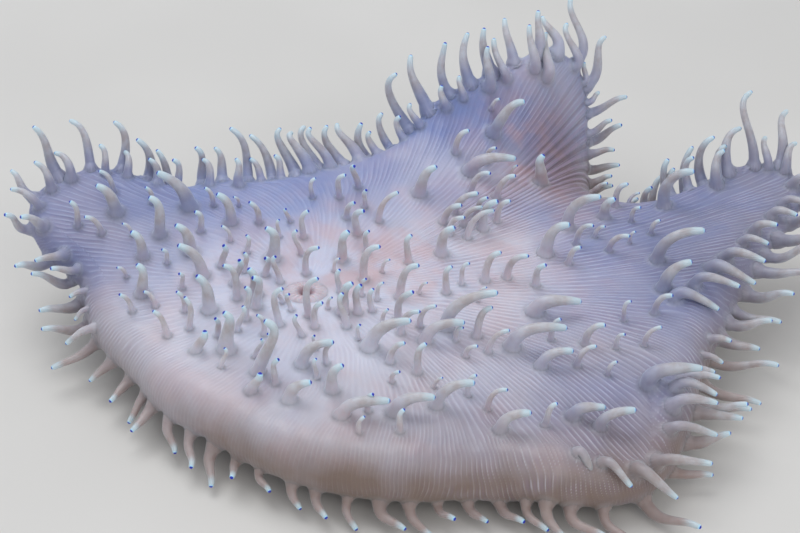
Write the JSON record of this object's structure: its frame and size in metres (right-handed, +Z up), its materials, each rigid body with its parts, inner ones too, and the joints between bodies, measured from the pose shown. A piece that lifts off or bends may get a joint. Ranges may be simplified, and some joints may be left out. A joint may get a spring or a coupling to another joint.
{
  "type": "sea anemone",
  "caption": "Broad, folded, finely ribbed disc in three lobes with slender tapering tentacles, a small oval mouth, a short column and a flat foot.",
  "frame": {"origin": "middle of the flat underside of the foot, on the floor", "axes": "+X to the tip of the long lobe on the right, -Y to the near side where the edge is rolled under, +Z up"},
  "size_m": [0.3568, 0.258, 0.0985],
  "materials": {
    "disc": "pale pink and lilac skin, finely ribbed, moist, satin; the tentacles grey and translucent with pale ends and a blue spot at each tip",
    "mouth": "pink, moist, softly glossy",
    "column": "brownish pink skin with fine folds, moist, satin",
    "foot": "brownish skin, satin"
  },
  "bodies": {
    "root": {"mouth": "mouth", "oral_disc": "disc", "right_lobe": "disc", "near_right_fold": "disc", "near_fold": "disc", "near_left_fold": "disc", "left_lobe": "disc", "back_fold": "disc", "upper_lobe": "disc", "column": "column", "foot": "foot"}
  },
  "joints": []
}
